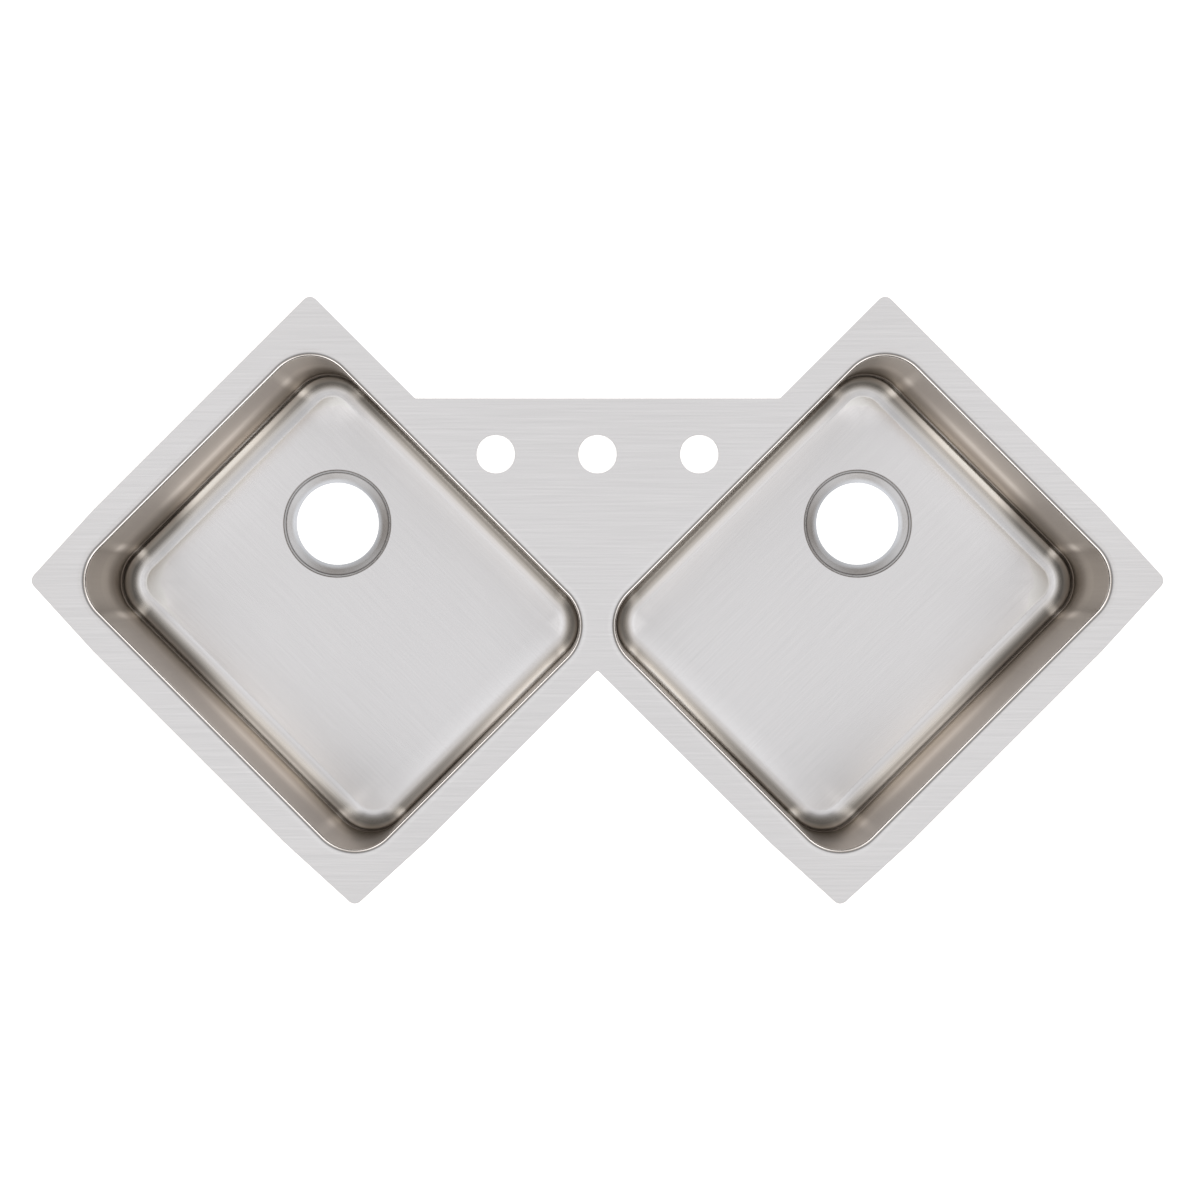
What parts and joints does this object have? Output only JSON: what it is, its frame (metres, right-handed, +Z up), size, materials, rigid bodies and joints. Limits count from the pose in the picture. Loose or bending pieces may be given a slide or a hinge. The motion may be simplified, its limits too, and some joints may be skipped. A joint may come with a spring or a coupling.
{
  "type": "corner kitchen sink",
  "caption": "Double-bowl corner kitchen sink in brushed steel: bowls turned 45 degrees to each other, flat flange, rear tap ledge and recessed drain seats.",
  "frame": {"origin": "on the deck's top face, midway between the centres of the two bowls", "axes": "+X to the right along the straight back edge, +Y to the back wall, +Z up out of the bowls"},
  "size_m": [1.1306, 0.6065, 0.2079],
  "materials": {
    "deck_steel": "satin, brushed from left to right",
    "bowl_steel": "satin floor brushed along the bowl, brighter walls and lip",
    "weld_steel": "rippled weld bead, left as welded",
    "undercoat": "sprayed, fine orange peel",
    "sound_pad": "matt rubber, fine texture"
  },
  "bodies": {
    "root": {"deck_plate": "deck_steel", "left_bowl": "bowl_steel", "right_bowl": "bowl_steel", "left_weld_seam": "weld_steel", "right_weld_seam": "weld_steel", "left_undercoat": "undercoat", "right_undercoat": "undercoat", "left_wide_floor_pad": "sound_pad", "right_wide_floor_pad": "sound_pad", "left_narrow_floor_pad": "sound_pad", "right_narrow_floor_pad": "sound_pad", "left_back_wall_pad": "sound_pad", "right_back_wall_pad": "sound_pad", "left_front_wall_pad": "sound_pad", "right_front_wall_pad": "sound_pad", "left_outer_wall_pad": "sound_pad", "right_outer_wall_pad": "sound_pad", "left_inner_wall_pad": "sound_pad", "right_inner_wall_pad": "sound_pad"}
  },
  "joints": []
}
